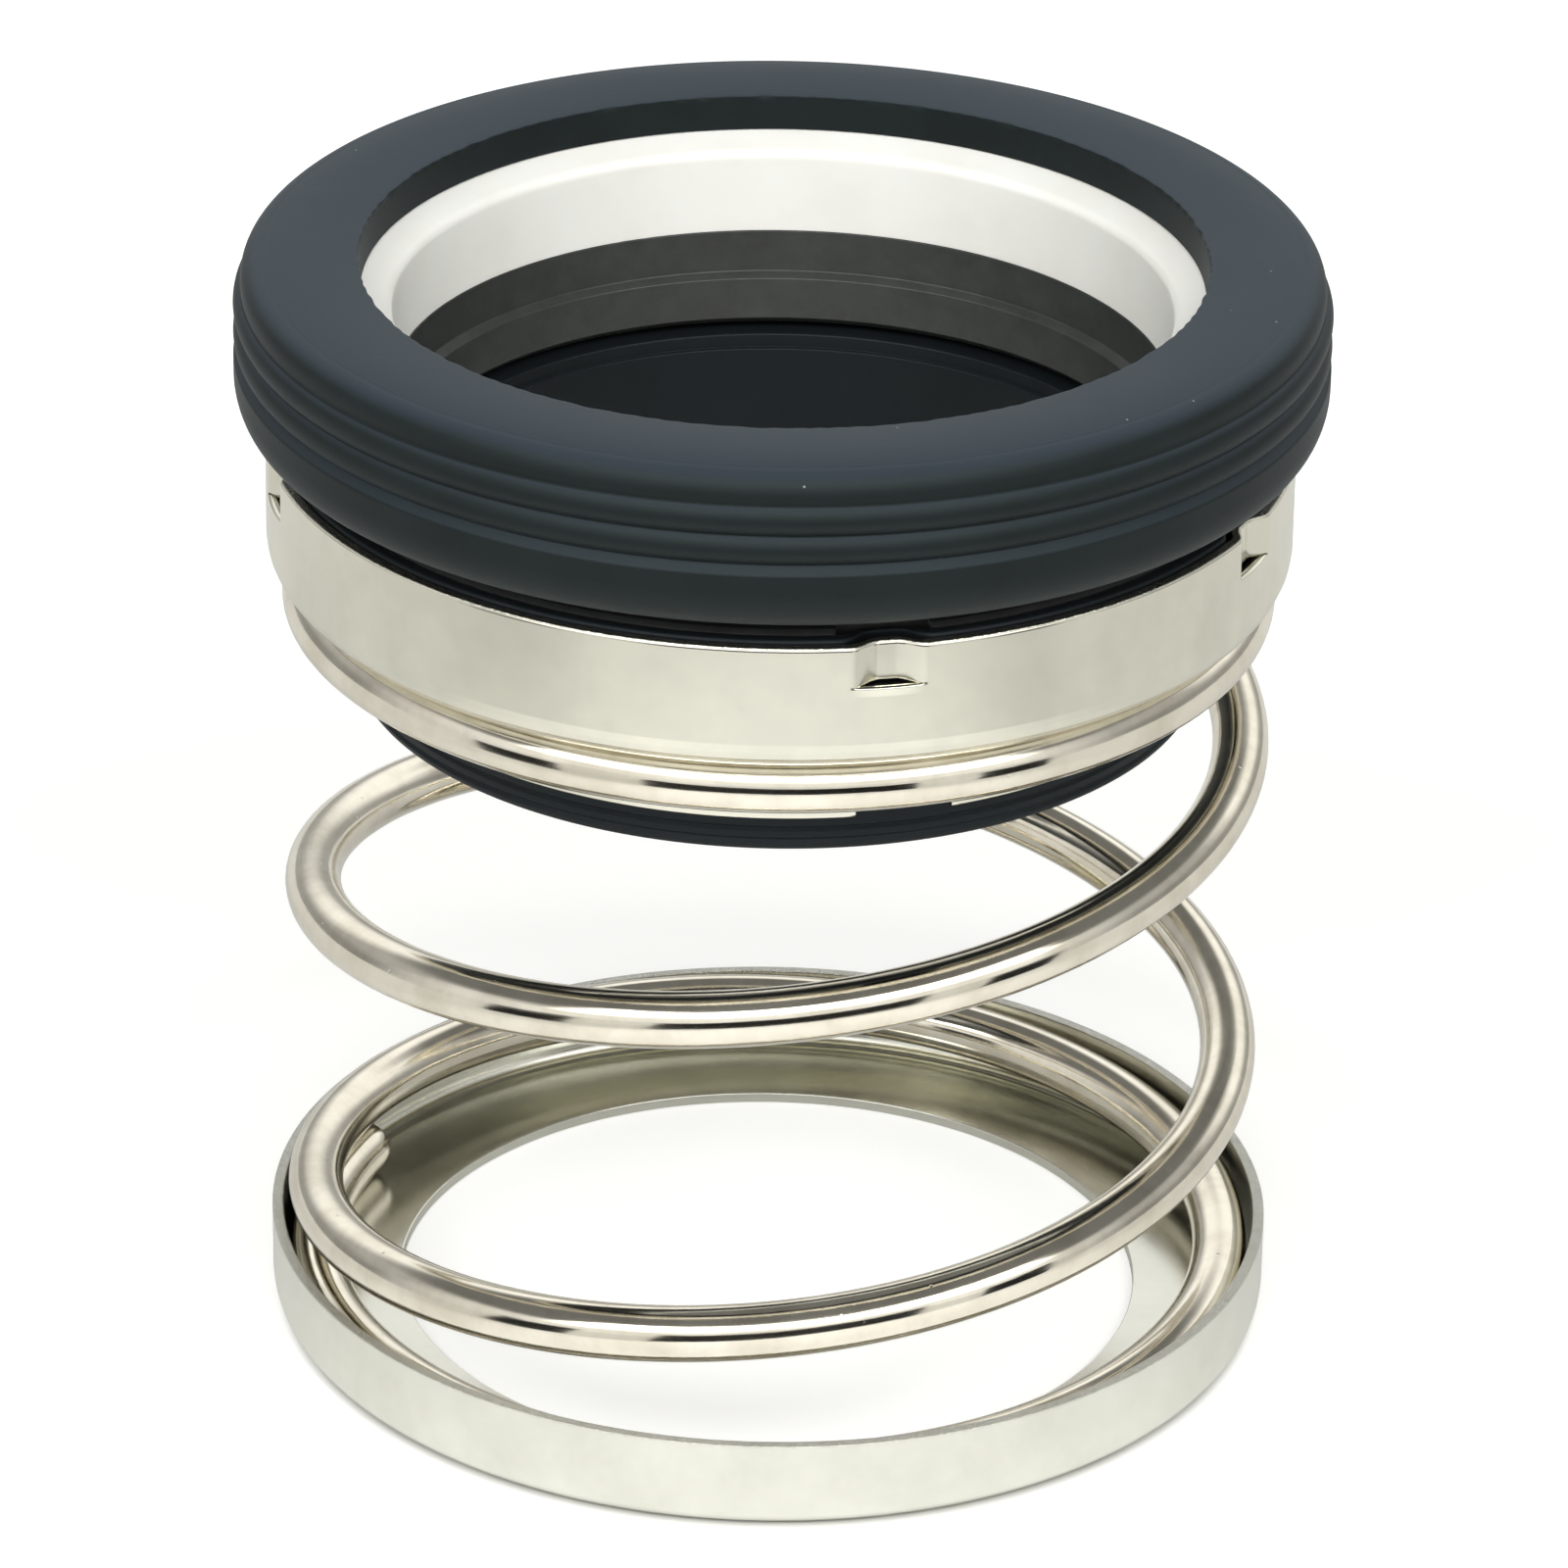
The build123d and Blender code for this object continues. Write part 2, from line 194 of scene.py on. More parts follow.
stack = {
    "sheet": 0.8,
    "shoulder": 57.55,         # underside of the retainer
    "rim": 66.75,              # top edge of the retainer
    "dentTurns": [math.radians(a) for a in (282.0, 335.0, 69.0, 193.0)],
    "springRadius": 32.4,
}

# materials

holderSteelLook = {
    "name": "stampedStainlessHolder",
    "colour": "#e6e6de",       # faintly warm silver of austenitic stainless
    "shadeColour": "#dbdbd2",
    "roughness": (0.15, 0.24),
    "markSpacing": 0.4,        # mm between die marks, coarser than real so that they show
    "markLength": 6.0,         # mm that a mark runs up the wall
    "markHeight": 0.003,       # mm
    "cutEdge": 6.6,            # height in mm above which the sheet shows its sheared edge
    "burrSize": 0.25,          # mm
}
shellSteelLook = {**holderSteelLook, "name": "stampedStainlessShell", "colour": "#e8e5d7",
                  "shadeColour": "#dad8cb", "cutEdge": 66.66}


def stampedStainless(look):
    # deep-drawn stainless sheet: satin, with faint upright die marks and cloudy patches
    material, tree = newMaterial(look["name"])
    place = addNode(tree, "ShaderNodeTexCoord").outputs["Object"]
    clouds = addNode(tree, "ShaderNodeTexNoise", None,
                     {"Vector": place, "Scale": 1 / (8 * mm), "Detail": 5.0, "Roughness": 0.65}).outputs["Fac"]
    tint = addNode(tree, "ShaderNodeValToRGB", None, {"Fac": clouds},
                   [(0.35, look["shadeColour"]), (0.65, look["colour"])])
    gloss = addNode(tree, "ShaderNodeMapRange", None,
                    {"Value": clouds, "To Min": look["roughness"][0], "To Max": look["roughness"][1]})
    stretch = addNode(tree, "ShaderNodeMapping", None,
                      {"Vector": place, "Scale": (1.0, 1.0, look["markSpacing"] / look["markLength"])})
    marks = addNode(tree, "ShaderNodeTexNoise", None,
                    {"Vector": stretch.outputs["Vector"], "Scale": 1 / (look["markSpacing"] * mm), "Detail": 4.0})
    bump = addNode(tree, "ShaderNodeBump", None,
                   {"Height": marks.outputs["Fac"], "Strength": 1.0, "Distance": look["markHeight"] * mm})
    # the sheared edge on top is rough, with small burrs
    height = addNode(tree, "ShaderNodeSeparateXYZ", None, {"Vector": place}).outputs["Z"]
    sheared = addNode(tree, "ShaderNodeMapRange", None,
                      {"Value": height, "From Min": look["cutEdge"] * mm, "From Max": (look["cutEdge"] + 0.08) * mm})
    tears = addNode(tree, "ShaderNodeTexNoise", None,
                    {"Vector": place, "Scale": 1 / (look["burrSize"] * mm), "Detail": 3.0, "Roughness": 0.7})
    burrs = addNode(tree, "ShaderNodeMath", {"operation": "MULTIPLY"},
                    {0: tears.outputs["Fac"], 1: sheared.outputs["Result"]})
    rough = addNode(tree, "ShaderNodeBump", None,
                    {"Height": burrs.outputs[0], "Strength": 1.0, "Distance": 0.12 * mm,
                     "Normal": bump.outputs["Normal"]})
    shader = addNode(tree, "ShaderNodeBsdfPrincipled", None,
                     {"Base Color": tint.outputs["Color"], "Metallic": 1.0, "Roughness": gloss.outputs["Result"],
                      "Normal": rough.outputs["Normal"]})
    addNode(tree, "ShaderNodeOutputMaterial", None, {"Surface": shader.outputs["BSDF"]})
    return material


springWireLook = {
    "colour": "#eee8da",
    "shadeColour": "#ddd6c6",
    "roughness": (0.08, 0.15),
    "lineSpacing": 0.45,       # mm round the wire between drawing lines, coarser than real so that they show
    "lineLength": 14.0,        # mm along the wire
    "lineHeight": 0.010,       # mm
    "pitSpacing": 2.4,         # mm between the pits that the pickling left
    "pitDepth": 0.012,         # mm
}


def drawnSpringWire(look=springWireLook):
    # bright drawn stainless wire: near-mirror, with long fine lines along it and a few pits
    material, tree = newMaterial("drawnStainlessWire")
    along = addNode(tree, "ShaderNodeAttribute", {"attribute_name": "alongWire"}).outputs["Vector"]
    place = addNode(tree, "ShaderNodeTexCoord").outputs["Object"]
    clouds = addNode(tree, "ShaderNodeTexNoise", None,
                     {"Vector": place, "Scale": 1 / (5 * mm), "Detail": 4.0, "Roughness": 0.6}).outputs["Fac"]
    tint = addNode(tree, "ShaderNodeValToRGB", None, {"Fac": clouds},
                   [(0.35, look["shadeColour"]), (0.6, look["colour"])])
    stretch = addNode(tree, "ShaderNodeMapping", None,
                      {"Vector": along, "Scale": (look["lineSpacing"] / look["lineLength"], 1.0, 1.0)})
    lines = addNode(tree, "ShaderNodeTexNoise", None,
                    {"Vector": stretch.outputs["Vector"], "Scale": 1 / look["lineSpacing"],
                     "Detail": 4.0}).outputs["Fac"]
    gloss = addNode(tree, "ShaderNodeMapRange", None,
                    {"Value": lines, "From Min": 0.3, "From Max": 0.7,
                     "To Min": look["roughness"][0], "To Max": look["roughness"][1]})
    lineBump = addNode(tree, "ShaderNodeBump", None,
                       {"Height": lines, "Strength": 1.0, "Distance": look["lineHeight"] * mm})
    specks = addNode(tree, "ShaderNodeTexVoronoi", None, {"Vector": place, "Scale": 1 / (look["pitSpacing"] * mm)})
    pits = addNode(tree, "ShaderNodeMapRange", None,
                   {"Value": specks.outputs["Distance"], "From Min": 0.02, "From Max": 0.06})
    pitBump = addNode(tree, "ShaderNodeBump", None,
                      {"Height": pits.outputs["Result"], "Strength": 1.0, "Distance": look["pitDepth"] * mm,
                       "Normal": lineBump.outputs["Normal"]})
    shader = addNode(tree, "ShaderNodeBsdfPrincipled", None,
                     {"Base Color": tint.outputs["Color"], "Metallic": 1.0, "Roughness": gloss.outputs["Result"],
                      "Normal": pitBump.outputs["Normal"]})
    addNode(tree, "ShaderNodeOutputMaterial", None, {"Surface": shader.outputs["BSDF"]})
    return material


# in the last row, the first three entries paint a pale blue sheen into the colour of up-facing surfaces: its strength,
# the rise of the normal where it starts, and its colour
cupRubberLook = {
    "name": "mouldedNitrileCup", "colour": "#101517", "shadeColour": "#0b0f10", "dust": "#8d9795",
    "roughness": (0.52, 0.60), "grain": 0.3, "grainHeight": 0.012, "speckSpacing": 1.5, "speckShare": 0.06,
    "paintedSheenAmount": 0.5, "paintedSheenFrom": 0.45, "paintedSheenColour": "#48535f", "glossTint": "#dff2f4",
}
bellowsRubberLook = {
    "name": "mouldedNitrileBellows", "colour": "#0e1213", "shadeColour": "#0a0d0e", "dust": "#6f7674",
    "roughness": (0.48, 0.56), "grain": 0.3, "grainHeight": 0.010, "speckSpacing": 1.8, "speckShare": 0.04,
    "paintedSheenAmount": 0.15, "paintedSheenFrom": 0.45, "paintedSheenColour": "#23292f", "glossTint": "#dcebf8",
}


def mouldedNitrile(look):
    # moulded nitrile rubber: satin black with a painted pale blue sheen on what faces up, fine mould grain and dust
    # specks
    material, tree = newMaterial(look["name"])
    place = addNode(tree, "ShaderNodeTexCoord").outputs["Object"]
    clouds = addNode(tree, "ShaderNodeTexNoise", None,
                     {"Vector": place, "Scale": 1 / (6 * mm), "Detail": 5.0, "Roughness": 0.6}).outputs["Fac"]
    tint = addNode(tree, "ShaderNodeValToRGB", None, {"Fac": clouds},
                   [(0.35, look["shadeColour"]), (0.65, look["colour"])]).outputs["Color"]
    specks = addNode(tree, "ShaderNodeTexVoronoi", None, {"Vector": place, "Scale": 1 / (look["speckSpacing"] * mm)})
    chance = addNode(tree, "ShaderNodeSeparateColor", None, {"Color": specks.outputs["Color"]}).outputs["Red"]
    chosen = addNode(tree, "ShaderNodeMath", {"operation": "LESS_THAN"}, {0: chance, 1: look["speckShare"]})
    # a speck is about a twentieth of a millimetre across
    small = addNode(tree, "ShaderNodeMath", {"operation": "LESS_THAN"}, {0: specks.outputs["Distance"], 1: 0.06})
    speck = addNode(tree, "ShaderNodeMath", {"operation": "MULTIPLY"}, {0: small.outputs[0], 1: chosen.outputs[0]})
    # painted sheen: the colour turns pale blue on what faces up, by the rise of the surface's normal
    facing = addNode(tree, "ShaderNodeNewGeometry")
    upward = addNode(tree, "ShaderNodeSeparateXYZ", None, {"Vector": facing.outputs["Normal"]})
    paintedSheenShare = addNode(tree, "ShaderNodeMapRange", {"interpolation_type": "SMOOTHSTEP"},
                      {"Value": upward.outputs["Z"], "From Min": look["paintedSheenFrom"], "From Max": 1.0,
                       "To Max": look["paintedSheenAmount"]})
    withPaintedSheen = addNode(tree, "ShaderNodeMix", {"data_type": "RGBA"},
                      {0: paintedSheenShare.outputs["Result"], 6: tint, 7: linearColour(look["paintedSheenColour"])}).outputs[2]
    dusty = addNode(tree, "ShaderNodeMix", {"data_type": "RGBA"},
                    {0: speck.outputs[0], 6: withPaintedSheen, 7: linearColour(look["dust"])}).outputs[2]
    gloss = addNode(tree, "ShaderNodeMapRange", None,
                    {"Value": clouds, "To Min": look["roughness"][0], "To Max": look["roughness"][1]})
    fine = addNode(tree, "ShaderNodeTexNoise", None,
                   {"Vector": place, "Scale": 1 / (look["grain"] * mm), "Detail": 4.0, "Roughness": 0.6})
    bump = addNode(tree, "ShaderNodeBump", None,
                   {"Height": fine.outputs["Fac"], "Strength": 1.0, "Distance": look["grainHeight"] * mm})
    shader = addNode(tree, "ShaderNodeBsdfPrincipled", None,
                     {"Base Color": dusty, "Roughness": gloss.outputs["Result"],
                      "IOR": 1.45, "Specular IOR Level": 0.43,
                      "Specular Tint": linearColour(look["glossTint"]),
                      "Sheen Weight": 0.06, "Sheen Roughness": 0.35,
                      "Sheen Tint": linearColour("#cfe0f0"), "Normal": bump.outputs["Normal"]})
    addNode(tree, "ShaderNodeOutputMaterial", None, {"Surface": shader.outputs["BSDF"]})
    return material


carbonLook = {
    "colour": "#363938", "shadeColour": "#2a2c2b", "roughness": 0.42,
    "ringSpacing": 0.15,       # mm of feed between turning rings
    "ringHeight": 0.008,
}


def turnedCarbon(look=carbonLook):
    # carbon graphite, turned and lapped: dark grey and dull, with fine rings from the tool
    material, tree = newMaterial("turnedCarbonGraphite")
    place = addNode(tree, "ShaderNodeTexCoord").outputs["Object"]
    grain = addNode(tree, "ShaderNodeTexNoise", None,
                    {"Vector": place, "Scale": 1 / (2.5 * mm), "Detail": 7.0, "Roughness": 0.75}).outputs["Fac"]
    tint = addNode(tree, "ShaderNodeValToRGB", None, {"Fac": grain},
                   [(0.35, look["shadeColour"]), (0.65, look["colour"])])
    stretch = addNode(tree, "ShaderNodeMapping", None, {"Vector": place, "Scale": (0.02, 0.02, 1.0)})
    rings = addNode(tree, "ShaderNodeTexNoise", None,
                    {"Vector": stretch.outputs["Vector"], "Scale": 1 / (look["ringSpacing"] * mm), "Detail": 2.0})
    bump = addNode(tree, "ShaderNodeBump", None,
                   {"Height": rings.outputs["Fac"], "Strength": 1.0, "Distance": look["ringHeight"] * mm})
    shader = addNode(tree, "ShaderNodeBsdfPrincipled", None,
                     {"Base Color": tint.outputs["Color"], "Roughness": look["roughness"], "IOR": 1.6,
                      "Normal": bump.outputs["Normal"]})
    addNode(tree, "ShaderNodeOutputMaterial", None, {"Surface": shader.outputs["BSDF"]})
    return material


aluminaLook = {
    "colour": "#fdfdfa", "shadeColour": "#f8f7f2", "roughness": 0.35,
    "glowDepth": 1.0,          # mm that light spreads under the surface
    "grit": 0.2,               # mm, the grinding marks, coarser than real so that they show
    "gritHeight": 0.003,
}


def groundAlumina(look=aluminaLook):
    # ground alumina ceramic: dense white, a little creamy, with a soft gloss
    material, tree = newMaterial("groundAlumina")
    place = addNode(tree, "ShaderNodeTexCoord").outputs["Object"]
    clouds = addNode(tree, "ShaderNodeTexNoise", None,
                     {"Vector": place, "Scale": 1 / (5 * mm), "Detail": 4.0}).outputs["Fac"]
    tint = addNode(tree, "ShaderNodeValToRGB", None, {"Fac": clouds},
                   [(0.35, look["shadeColour"]), (0.65, look["colour"])])
    fine = addNode(tree, "ShaderNodeTexNoise", None,
                   {"Vector": place, "Scale": 1 / (look["grit"] * mm), "Detail": 3.0})
    bump = addNode(tree, "ShaderNodeBump", None,
                   {"Height": fine.outputs["Fac"], "Strength": 1.0, "Distance": look["gritHeight"] * mm})
    shader = addNode(tree, "ShaderNodeBsdfPrincipled", None,
                     {"Base Color": tint.outputs["Color"], "Roughness": look["roughness"], "IOR": 1.77,
                      "Subsurface Weight": 0.08, "Subsurface Scale": look["glowDepth"] * mm,
                      "Subsurface Radius": (1.0, 0.95, 0.9), "Normal": bump.outputs["Normal"]})
    addNode(tree, "ShaderNodeOutputMaterial", None, {"Surface": shader.outputs["BSDF"]})
    return material


holderMaterial = stampedStainless(holderSteelLook)
shellMaterial = stampedStainless(shellSteelLook)
wireMaterial = drawnSpringWire()
cupMaterial = mouldedNitrile(cupRubberLook)
bellowsMaterial = mouldedNitrile(bellowsRubberLook)
carbonMaterial = turnedCarbon()
aluminaMaterial = groundAlumina()
print("materials ready")

# spring holder: shallow stamped cup

holderSizes = {"radius": 35.5, "height": 6.7, "corner": 2.0, "bore": 26.3, "edge": 0.12,
               "waviness": 0.05, "waveFrom": 1.0}


def makeSpringHolder(sizes=holderSizes, t=stack["sheet"]):
    r, h, bore, edge = sizes["radius"], sizes["height"], sizes["bore"], sizes["edge"]
    section = roundedSection([
        (bore, 0, edge), (r, 0, sizes["corner"]), (r, h, edge), (r - t, h, edge),
        (r - t, t, sizes["corner"] - t), (bore, t, edge)], steps=8)

    def shape(r, z, turn):
        high = stepUp(z, sizes["waveFrom"], h)
        return r + high * wave(turn, z, 1.3, sizes["waviness"]), z

    points, faces = lathe(section, shape=shape)
    return makePiece("holderCup", points, faces, "holder", "spring_holder", holderMaterial)


makeSpringHolder()

# coil spring

springSizes = {
    "wire": 1.95, "free": 56.65, "turns": 3.82, "startTurn": math.radians(155),
    "closingPitch": 5.5, "bends": ((0.35, 0.10), (1.0, 0.15), (3.035, 0.185)),
    "openTurns": ((1.04, 0.10), (2.82, 0.10)),    # turn and spread where the coils start and stop to close up
    "stepsPerTurn": 150, "sides": 36, "seat": 0.85,
    "endBevel": 0.22, "endRound": 0.3,            # bevel of the cut ends, and the share of it at its middle ring
}


def rampArea(turn, middle, spread):
    inside = (turn - middle + spread) ** 2 / (4 * spread)
    return np.where(turn <= middle - spread, 0, np.where(turn >= middle + spread, turn - middle, inside))


def makeSpring(sizes=springSizes, radius=stack["springRadius"]):
    wire, turns = sizes["wire"], sizes["turns"]
    (first, firstSpread), (lower, lowerSpread), (upper, upperSpread) = sizes["bends"]
    rise = sizes["free"] - 2 * wire
    openPitch = (rise - sizes["closingPitch"] * (lower - first)) / (upper - lower)
    along = np.linspace(0, turns, int(turns * sizes["stepsPerTurn"]))
    z = sizes["seat"] + wire + sizes["closingPitch"] * rampArea(along, first, firstSpread)
    z = z + (openPitch - sizes["closingPitch"]) * rampArea(along, lower, lowerSpread)
    z = z - openPitch * rampArea(along, upper, upperSpread)
    turn = sizes["startTurn"] + fullTurn * along
    centre = np.stack([radius * np.cos(turn), radius * np.sin(turn), z], axis=1)
    tangent = np.gradient(centre, axis=0)
    tangent /= np.linalg.norm(tangent, axis=1)[:, None]
    outward = np.stack([np.cos(turn), np.sin(turn), np.zeros_like(turn)], axis=1)
    upward = np.cross(tangent, outward)
    upward *= np.sign(upward[:, 2])[:, None]
    sides = sizes["sides"]
    around = np.linspace(0, fullTurn, sides, endpoint=False)
    bevel = sizes["endBevel"]
    middle = bevel * sizes["endRound"]

    def ring(i, size, shift):
        offset = np.cos(around)[:, None] * outward[i] + np.sin(around)[:, None] * upward[i]
        return centre[i] + shift * tangent[i] + size * offset

    rings = [ring(0, wire - bevel, 0), ring(0, wire - middle, middle)]
    places = [0.0, 0.0]
    lengths = np.concatenate([[0], np.cumsum(np.linalg.norm(np.diff(centre, axis=0), axis=1))])
    for i in range(len(along)):
        shift = bevel if i == 0 else -bevel if i == len(along) - 1 else 0
        rings.append(ring(i, wire, shift))
        places.append(lengths[i])
    rings += [ring(-1, wire - middle, -middle), ring(-1, wire - bevel, 0)]
    places += [lengths[-1], lengths[-1]]
    points = np.concatenate(rings) * mm
    faces = []
    for k in range(len(rings) - 1):
        for s in range(sides):
            n = (s + 1) % sides
            faces.append((k * sides + s, k * sides + n, (k + 1) * sides + n, (k + 1) * sides + s))
    faces.append(tuple(range(sides - 1, -1, -1)))
    faces.append(tuple((len(rings) - 1) * sides + s for s in range(sides)))
    piece = makePiece("coilSpring", points, faces, None, "coil_spring", wireMaterial)
    # each point knows its place along the wire and round it, in mm, for the drawing lines
    place = np.zeros((len(rings), sides, 3))
    place[:, :, 0] = np.array(places)[:, None]
    place[:, :, 1] = wire * np.cos(around)[None, :]
    place[:, :, 2] = wire * np.sin(around)[None, :]
    attribute = piece.data.attributes.new("alongWire", "FLOAT_VECTOR", "POINT")
    attribute.data.foreach_set("vector", place.reshape(-1))
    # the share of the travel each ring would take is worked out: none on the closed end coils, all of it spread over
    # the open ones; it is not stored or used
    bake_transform(piece)
    (start, startSpread), (stop, stopSpread) = sizes["openTurns"]
    share = (rampArea(along, start, startSpread) - rampArea(along, stop, stopSpread)) / (stop - start)
    share = np.concatenate([[0, 0], share, [1, 1]]).clip(0, 1)
    return piece


makeSpring()

# retainer shell: stamped cup with lanced dents

shellSizes = {
    "radius": 35.4, "corner": 2.2, "bore": 30.5, "edge": 0.12, "rimRound": 0.22, "waviness": 0.03,
    "dentHalfWidth": 2.6, "dentFlat": 0.5, "dentDepth": (0.88, 0.92),     # at the slit and at the rim
    "dentReach": math.radians(5.0), "dentColumns": 30,      # close columns each side of a dent's middle
    "slitLow": 63.82, "slitHigh": 63.86, "slitHalfWidth": 2.3, "slitOpening": 0.12, "lip": 0.08,
    "rowsBelow": (0.6, 0.25, 0.1), "rowsAbove": (0.1, 0.3, 0.8, 1.3, 1.8),      # mm from the slit
    "waveRise": 2.0,
}


def makeRetainerShell(sizes=shellSizes, t=stack["sheet"]):
    r, low, rim, edge = sizes["radius"], stack["shoulder"], stack["rim"], sizes["edge"]
    slitLow, slitHigh = sizes["slitLow"], sizes["slitHigh"]
    rows = [slitLow - d for d in sizes["rowsBelow"]] + [slitLow, slitHigh]
    rows += [slitHigh + d for d in sizes["rowsAbove"]]
    corners = [(sizes["bore"], low, edge), (r, low, sizes["corner"])]
    corners += [(r, z, 0) for z in rows]
    corners += [(r, rim, sizes["rimRound"]), (r - t, rim, edge)]
    corners += [(r - t, z, 0) for z in reversed(rows)]
    corners += [(r - t, low + t, sizes["corner"] - t), (sizes["bore"], low + t, edge)]
    section = roundedSection(corners, steps=6)
    turns = list(np.linspace(0, fullTurn, 360, endpoint=False))
    reach, count = sizes["dentReach"], sizes["dentColumns"]
    for dent in stack["dentTurns"]:
        turns = [a for a in turns if abs(angleFrom(a, dent)) > reach + 0.01]
        turns += [(dent + reach * k / count) % fullTurn for k in range(-count, count + 1)]
    turns = np.array(sorted(turns))

    def shape(radius, z, turn):
        moved = radius + stepUp(z, low + sizes["waveRise"], rim) * wave(turn, z, 4.1, sizes["waviness"])
        for dent in stack["dentTurns"]:
            across = np.abs(angleFrom(turn, dent)) * sizes["radius"]
            bump = 1 - stepUp(across, sizes["dentFlat"], sizes["dentHalfWidth"])
            above = z > slitHigh - 0.02
            depth = np.interp(z, (slitHigh, rim), sizes["dentDepth"])
            moved = moved - np.where(above, depth * bump, 0)
            opening = sizes["slitOpening"] * bump * (1 - stepUp(z, slitHigh, slitHigh + 0.8))
            z = z + np.where(above, opening, 0)
            near = 1 - stepUp(np.abs(z - slitLow), 0, 0.5)
            moved = moved + np.where((z <= slitLow + 0.02) & (z > slitLow - 0.7), sizes["lip"] * near * bump, 0)
        return moved, z

    points, faces = lathe(section, turns=turns, shape=shape)
    # open the slits: take out the faces between the lips and close the sheet's edges
    rowCount = len(section)
    outer = [k for k in range(rowCount) if section[k, 0] > r - t / 2]
    inner = [k for k in range(rowCount) if section[k, 0] <= r - t / 2]

    def nearestRow(choices, z):
        return min(choices, key=lambda k: abs(section[k, 1] - z))

    outerLow, outerHigh = nearestRow(outer, slitLow), nearestRow(outer, slitHigh)
    innerLow, innerHigh = nearestRow(inner, slitLow), nearestRow(inner, slitHigh)
    kept, added = [], []
    openColumns = []
    for c in range(len(turns)):
        middle = turns[c] + 0.5 * ((turns[(c + 1) % len(turns)] - turns[c]) % fullTurn)
        isOpen = any(abs(angleFrom(middle, dent)) * r < sizes["slitHalfWidth"] for dent in stack["dentTurns"])
        openColumns.append(isOpen)
        for k in range(rowCount):
            inOuter = outerLow <= k < outerHigh
            inInner = innerHigh <= k < innerLow
            if not (isOpen and (inOuter or inInner)):
                kept.append(faces[c * rowCount + k])
    for c, isOpen in enumerate(openColumns):
        here, ahead = c * rowCount, (c + 1) % len(turns) * rowCount
        if isOpen:
            added.append((here + outerLow, ahead + outerLow, ahead + innerLow, here + innerLow))
            added.append((here + outerHigh, here + innerHigh, ahead + innerHigh, ahead + outerHigh))
            side = [outerLow, outerHigh, innerHigh, innerLow]
            if not openColumns[c - 1]:
                added.append(tuple(here + k for k in side))
            if not openColumns[(c + 1) % len(turns)]:
                added.append(tuple(ahead + k for k in reversed(side)))
    return makePiece("retainerShell", points, kept + added, "head", "retainer_shell", shellMaterial)


makeRetainerShell()

# drive band: clamps the bellows, notched for the drive lugs

bandSizes = {"radius": 30.2, "thickness": 0.7, "foot": 51.8, "top": 61.2, "notchWidth": 6.7, "notchTop": 59.8,
             "firstNotch": math.radians(286.6), "notches": 4, "edge": 0.1}


def makeDriveBand(sizes=bandSizes):
    r, t, foot, top, edge = (sizes[k] for k in ("radius", "thickness", "foot", "top", "edge"))
    section = roundedSection([(r - t, foot, edge), (r, foot, edge * 2), (r, top, edge), (r - t, top, edge)], steps=4)
    halfNotch = sizes["notchWidth"] / 2 / r
    centres = [sizes["firstNotch"] + k * fullTurn / sizes["notches"] for k in range(sizes["notches"])]
    turns = turnsWithCuts(centres, halfNotch)

    def shape(radius, z, turn):
        for centre in centres:
            inside = np.abs(angleFrom(turn, centre)) < halfNotch
            z = np.where(inside, sizes["notchTop"] + (z - foot) * (top - sizes["notchTop"]) / (top - foot), z)
        return radius, z

    points, faces = lathe(section, turns=turns, shape=shape)
    return makePiece("driveBand", points, faces, "head", "drive_band", shellMaterial)


makeDriveBand()

# bellows: tail, convolution and head in one moulding

bellowsSizes = {
    "bore": 25.0, "tail": 29.45, "foot": 49.05, "grooves": (49.9, 50.75), "grooveDepth": 0.22,
    "archFoot": 61.3, "archRise": 0.525, "inner": 30.5, "foldWall": 1.1, "foldFoot": 58.45,
    "slotFoot": 59.55, "outerLeg": 32.5, "ringSeat": 63.35, "lip": 33.55, "head": 34.5, "lipTop": 67.0,
    "boreTop": 62.92, "boreStep": 61.95, "boreEdge": 61.9, "boreFlare": (0.35, 0.3),
    # where a dent pinches the lip: from this radius out, by this share, rising between these heights
    # and running out between these distances from the dent's middle
    "pinchRadius": 32.6, "pinch": 0.66, "pinchHeights": (62.8, 63.3), "pinchReach": (0.9, 3.1),
}


